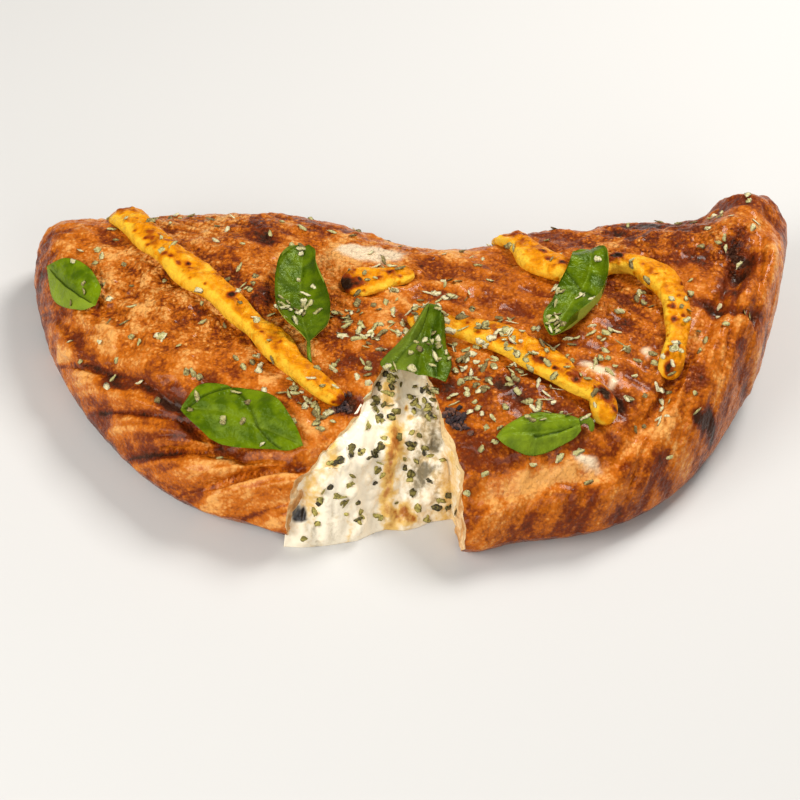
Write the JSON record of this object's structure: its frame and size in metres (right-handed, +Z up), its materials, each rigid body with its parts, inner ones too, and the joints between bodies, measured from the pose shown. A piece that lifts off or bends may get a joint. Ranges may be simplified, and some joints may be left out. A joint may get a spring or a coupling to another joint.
{
  "type": "calzone",
  "caption": "Baked calzone with a pleated rolled rim, cut open at the front to show its cheese filling, with baked cheese strands, basil leaves and dried herb flakes.",
  "frame": {"origin": "under the middle of the loaf's box, on the surface it rests on", "axes": "+X along the loaf from tip to tip, +Y from the bowed front to the straight back, +Z up"},
  "size_m": [0.314, 0.1854, 0.0594],
  "materials": {
    "crust": "golden brown baked dough, satin",
    "filling": "melted white and yellow cheese, moist",
    "cheese_strand": "baked yellow cheese with brown spots, satin",
    "basil": "fresh green basil leaf, satin",
    "herb": "dried grey-green herb flakes, matte"
  },
  "bodies": {
    "root": {"crust": "crust", "filling": "filling", "cheese_strand_1": "cheese_strand", "cheese_strand_2": "cheese_strand", "cheese_strand_3": "cheese_strand", "cheese_strand_4": "cheese_strand", "basil_leaf_1": "basil", "basil_leaf_2": "basil", "basil_leaf_3": "basil", "basil_leaf_4": "basil", "basil_leaf_5": "basil", "basil_leaf_6": "basil"}
  },
  "joints": []
}
